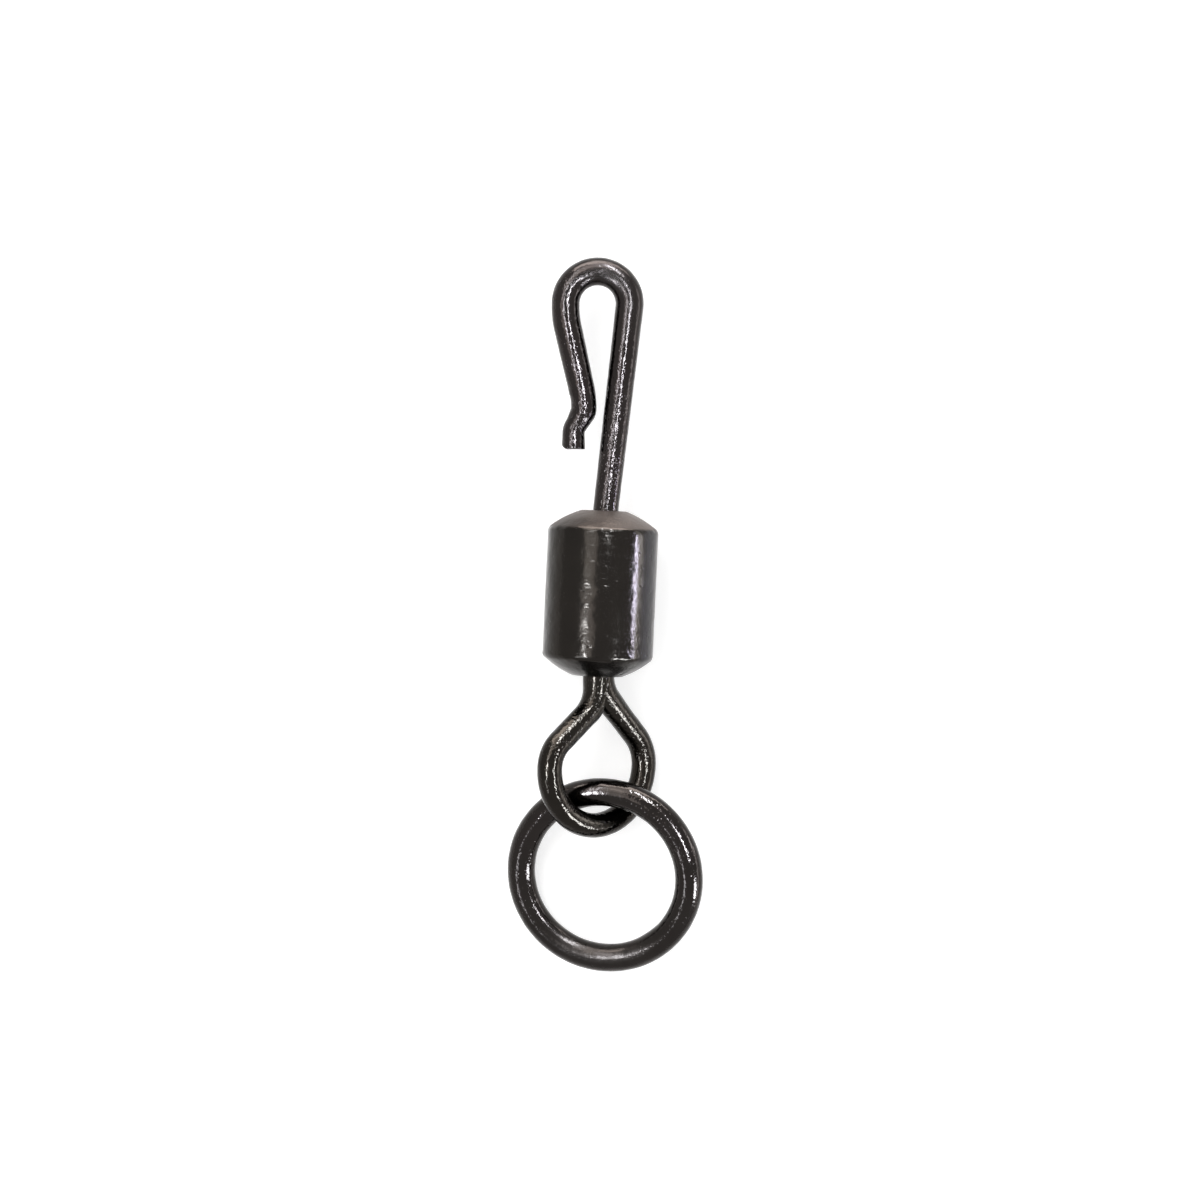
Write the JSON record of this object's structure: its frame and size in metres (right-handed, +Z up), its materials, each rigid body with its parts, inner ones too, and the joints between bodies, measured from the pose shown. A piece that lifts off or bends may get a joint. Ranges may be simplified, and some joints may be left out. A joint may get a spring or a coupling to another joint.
{
  "type": "quick change swivel",
  "caption": "Barrel swivel that joins a sprung quick-change hook clip to a pear-shaped wire eye holding a solid round ring, in glossy black nickel.",
  "frame": {"origin": "under the middle of the barrel, on the flat of its side that it rests on", "axes": "+Y along the barrel's axis towards the hook clip, +X to the right as the swivel lies, +Z up"},
  "size_m": [0.006, 0.022, 0.0034],
  "materials": {
    "barrel_plating": "gloss",
    "wire_plating": "gloss"
  },
  "bodies": {
    "barrel": {"barrel": "barrel_plating"},
    "hook": {"hook_clip": "wire_plating"},
    "eye": {"eye": "wire_plating"},
    "ring": {"ring": "wire_plating"}
  },
  "joints": [
    {"name": "hook_swivel", "type": "hinge", "parent": "barrel", "child": "hook", "pos_m": [0.00005, 0.00252, 0.00169], "axis": [0, 1, 0], "continuous": true},
    {"name": "eye_swivel", "type": "hinge", "parent": "barrel", "child": "eye", "pos_m": [0.00005, -0.00252, 0.00169], "axis": [0, 1, 0], "continuous": true},
    {"name": "ring_fold", "type": "hinge", "parent": "eye", "child": "ring", "pos_m": [0.00025, -0.00609, 0.00154], "axis": [-0.9737, -0.0702, -0.2166], "range_deg": [-145, 160]}
  ]
}
